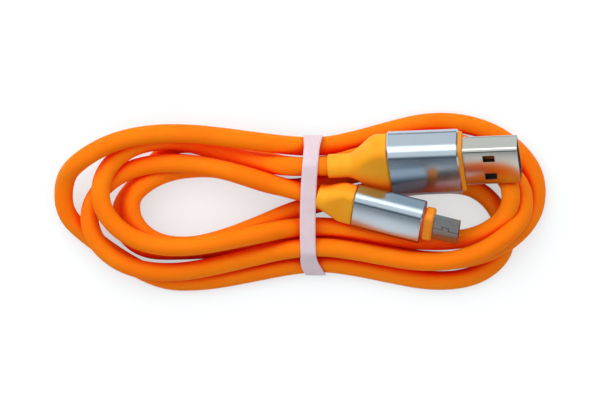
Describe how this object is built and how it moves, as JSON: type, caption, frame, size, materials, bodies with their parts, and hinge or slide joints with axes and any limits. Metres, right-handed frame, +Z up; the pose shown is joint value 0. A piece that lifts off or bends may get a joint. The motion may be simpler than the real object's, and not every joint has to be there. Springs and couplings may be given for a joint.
{
  "type": "charging cable",
  "caption": "Charging cable with a USB-A plug at one end and a micro-B plug at the other, wound into a flat hank and tied at its waist with a band.",
  "frame": {"origin": "centre of the hank's outline on the surface it lies on", "axes": "+X along the hank, towards the end where the USB-A plug's mouth points, +Z up, away from the surface it lies on"},
  "size_m": [0.1088, 0.0392, 0.022],
  "materials": {
    "cable": "matte elastomer jacket",
    "strain_relief": "matte moulded elastomer",
    "plug_body": "matte moulded plastic",
    "satin_sleeve": "satin anodised",
    "plug_shell": "nickel plated, satin",
    "contact_carrier": "matte moulded plastic",
    "contacts": "plated",
    "latch_spring": "plated spring steel",
    "band": "soft matte, slightly translucent"
  },
  "bodies": {
    "lead": {"cable_jacket": "cable", "tie_band": "band", "usb_a_boot": "strain_relief", "usb_a_sleeve": "satin_sleeve", "usb_a_inner_mould": "plug_body", "usb_a_shell": "plug_shell", "usb_a_insulator": "contact_carrier", "usb_a_contact_power": "contacts", "usb_a_contact_data_minus": "contacts", "usb_a_contact_data_plus": "contacts", "usb_a_contact_ground": "contacts", "micro_b_boot": "strain_relief", "micro_b_sleeve": "satin_sleeve", "micro_b_inner_mould": "plug_body", "micro_b_shell": "plug_shell", "micro_b_insulator": "contact_carrier", "micro_b_latch_base": "latch_spring", "micro_b_contact_power": "contacts", "micro_b_contact_data_minus": "contacts", "micro_b_contact_data_plus": "contacts", "micro_b_contact_id": "contacts", "micro_b_contact_ground": "contacts"},
    "latch_left": {"micro_b_latch_left": "latch_spring"},
    "latch_right": {"micro_b_latch_right": "latch_spring"}
  },
  "joints": [
    {"name": "latch_left_flex", "type": "hinge", "parent": "lead", "child": "latch_left", "pos_m": [0.02889, -0.00323, 0.01319], "axis": [-0.0865, -0.668, -0.7391], "range_deg": [0, 4.5], "stiffness_Nm_per_rad": 0.02},
    {"name": "latch_right_flex", "type": "hinge", "parent": "lead", "child": "latch_right", "pos_m": [0.02857, -0.0057, 0.01045], "axis": [-0.0865, -0.668, -0.7391], "range_deg": [0, 4.5], "stiffness_Nm_per_rad": 0.02}
  ]
}
